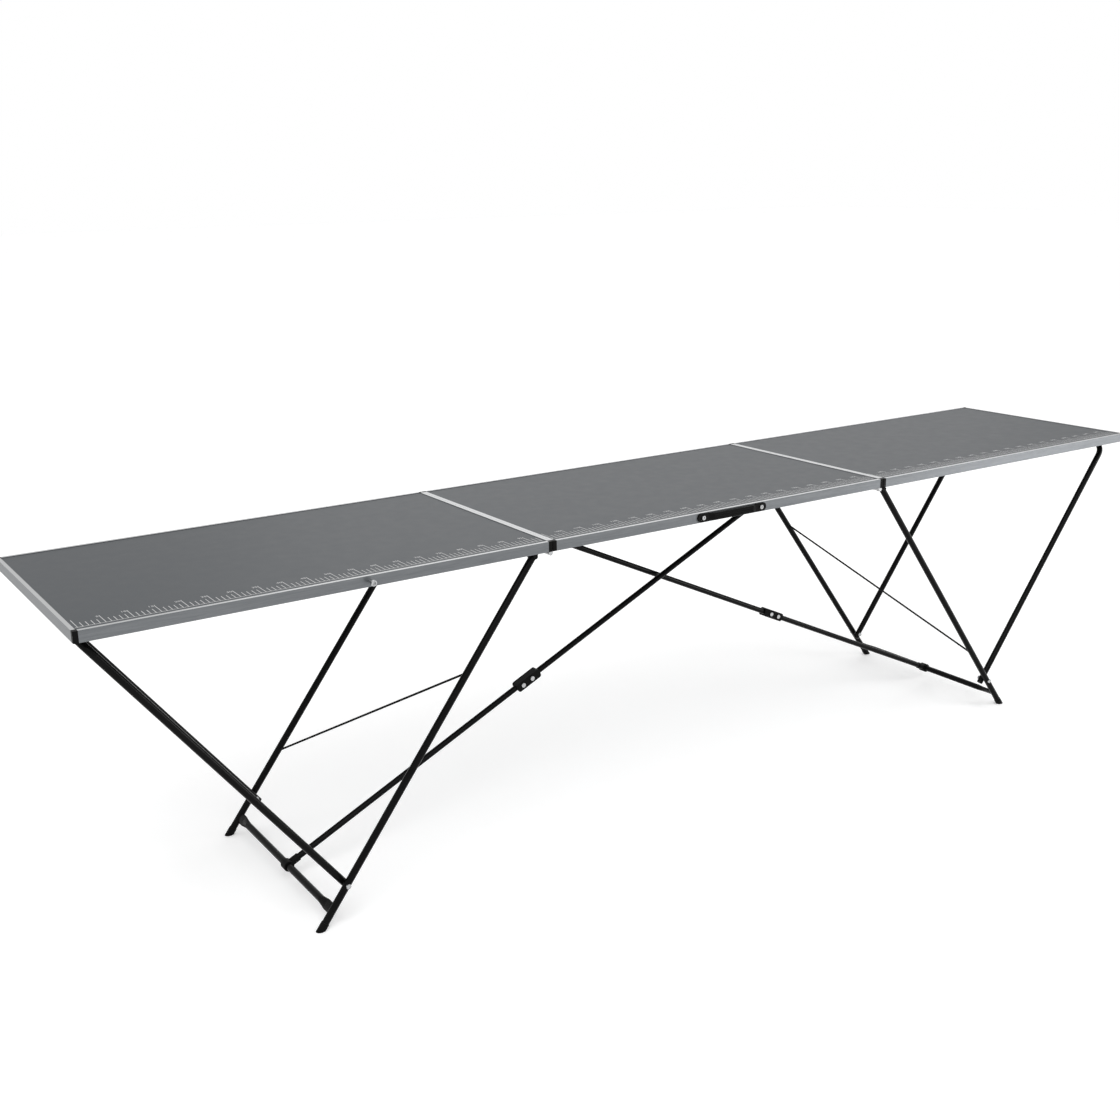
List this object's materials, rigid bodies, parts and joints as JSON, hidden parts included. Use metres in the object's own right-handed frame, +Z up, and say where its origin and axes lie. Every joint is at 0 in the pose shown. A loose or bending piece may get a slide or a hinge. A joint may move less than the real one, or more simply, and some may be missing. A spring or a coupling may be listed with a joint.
{
  "type": "folding trestle table",
  "caption": "Long folding work table with a framed sectioned top, splayed tube trestles with braces, crossing knee stays, carry strap and a ruled front edge.",
  "frame": {"origin": "on the floor, at the centre of the bounding box's base", "axes": "+X along the table to the right, +Y to the back, +Z up"},
  "size_m": [2.9996, 0.604, 0.75],
  "materials": {
    "board_laminate": "dark grey satin laminate",
    "rim_aluminium": "satin extruded",
    "black_plastic": "matte moulded",
    "black_tube": "semi-gloss black powder coat",
    "zinc_steel": "zinc plated"
  },
  "bodies": {
    "middle": {"middle_board": "board_laminate", "middle_front_rim": "rim_aluminium", "middle_back_rim": "rim_aluminium", "middle_left_end_rim": "rim_aluminium", "middle_right_end_rim": "rim_aluminium", "middle_corners": "black_plastic", "handle_strap": "black_plastic", "handle_screws": "zinc_steel", "left_inner_hinge_leaves": "zinc_steel", "left_hinge_pins": "zinc_steel", "left_stay_hook": "zinc_steel", "right_inner_hinge_leaves": "zinc_steel", "right_hinge_pins": "zinc_steel", "right_stay_hook": "zinc_steel"},
    "left_section": {"left_board": "board_laminate", "left_front_rim": "rim_aluminium", "left_back_rim": "rim_aluminium", "left_left_end_rim": "rim_aluminium", "left_right_end_rim": "rim_aluminium", "left_corners": "black_plastic", "left_outer_hinge_leaves": "zinc_steel", "left_leg_brackets": "black_tube", "left_leg_pins": "black_tube", "left_brace_clips": "black_plastic", "catch_stud": "zinc_steel"},
    "left_legs": {"left_front_leg": "black_tube", "left_back_leg": "black_tube", "left_foot_caps": "black_plastic", "left_cross_tube": "black_tube", "left_wire_rod": "black_tube", "left_brace_rivets": "zinc_steel"},
    "left_brace": {"left_brace": "black_tube"},
    "left_stay_lower_half": {"left_stay_collar": "black_plastic", "left_stay_lower": "black_tube", "left_stay_knee": "black_plastic", "left_knee_rivets": "zinc_steel"},
    "left_stay_upper_half": {"left_stay_upper": "black_tube"},
    "right_section": {"right_board": "board_laminate", "right_front_rim": "rim_aluminium", "right_back_rim": "rim_aluminium", "right_left_end_rim": "rim_aluminium", "right_right_end_rim": "rim_aluminium", "right_corners": "black_plastic", "right_outer_hinge_leaves": "zinc_steel", "right_leg_brackets": "black_tube", "right_leg_pins": "black_tube", "right_brace_clips": "black_plastic"},
    "right_legs": {"right_front_leg": "black_tube", "right_back_leg": "black_tube", "right_foot_caps": "black_plastic", "right_cross_tube": "black_tube", "right_wire_rod": "black_tube", "right_brace_rivets": "zinc_steel"},
    "right_brace": {"right_brace": "black_tube"},
    "right_stay_lower_half": {"right_stay_collar": "black_plastic", "right_stay_lower": "black_tube", "right_stay_knee": "black_plastic", "right_knee_rivets": "zinc_steel"},
    "right_stay_upper_half": {"right_stay_upper": "black_tube"}
  },
  "joints": [
    {"name": "left_section_fold", "type": "hinge", "parent": "middle", "child": "left_section", "pos_m": [-0.5, 0.0095, 0.721], "axis": [0, -1, 0], "range_deg": [0, 20]},
    {"name": "left_legs_swing", "type": "hinge", "parent": "left_section", "child": "left_legs", "pos_m": [-0.53, 0.0095, 0.715], "axis": [0, -1, 0], "range_deg": [0, 32]},
    {"name": "left_brace_swing", "type": "hinge", "parent": "left_legs", "child": "left_brace", "pos_m": [-1.005, 0.0095, 0.085], "axis": [0, 1, 0], "range_deg": [0, 64]},
    {"name": "left_stay_swing", "type": "hinge", "parent": "left_legs", "child": "left_stay_lower_half", "pos_m": [-1.04044, 0.0095, 0.038], "axis": [0, -1, 0], "range_deg": [0, 10]},
    {"name": "left_stay_knee_bend", "type": "hinge", "parent": "left_stay_lower_half", "child": "left_stay_upper_half", "pos_m": [-0.3962, 0.0095, 0.33643], "axis": [0, 1, 0], "range_deg": [0, 100]},
    {"name": "right_section_fold", "type": "hinge", "parent": "middle", "child": "right_section", "pos_m": [0.5, 0.0095, 0.721], "axis": [0, 1, 0], "range_deg": [0, 20]},
    {"name": "right_legs_swing", "type": "hinge", "parent": "right_section", "child": "right_legs", "pos_m": [0.53, 0.0095, 0.715], "axis": [0, 1, 0], "range_deg": [0, 32]},
    {"name": "right_brace_swing", "type": "hinge", "parent": "right_legs", "child": "right_brace", "pos_m": [1.005, 0.0095, 0.085], "axis": [0, -1, 0], "range_deg": [0, 64]},
    {"name": "right_stay_swing", "type": "hinge", "parent": "right_legs", "child": "right_stay_lower_half", "pos_m": [1.04044, 0.0095, 0.038], "axis": [0, 1, 0], "range_deg": [0, 10]},
    {"name": "right_stay_knee_bend", "type": "hinge", "parent": "right_stay_lower_half", "child": "right_stay_upper_half", "pos_m": [0.3962, 0.0095, 0.33643], "axis": [0, -1, 0], "range_deg": [0, 100]}
  ],
  "couplings": [
    {"joint": "left_legs_swing", "follows": "left_section_fold", "ratio": 1.6},
    {"joint": "left_brace_swing", "follows": "left_section_fold", "ratio": 3.2},
    {"joint": "left_stay_swing", "follows": "left_section_fold", "ratio": 0.5},
    {"joint": "left_stay_knee_bend", "follows": "left_section_fold", "ratio": 5},
    {"joint": "right_legs_swing", "follows": "right_section_fold", "ratio": 1.6},
    {"joint": "right_brace_swing", "follows": "right_section_fold", "ratio": 3.2},
    {"joint": "right_stay_swing", "follows": "right_section_fold", "ratio": 0.5},
    {"joint": "right_stay_knee_bend", "follows": "right_section_fold", "ratio": 5}
  ]
}
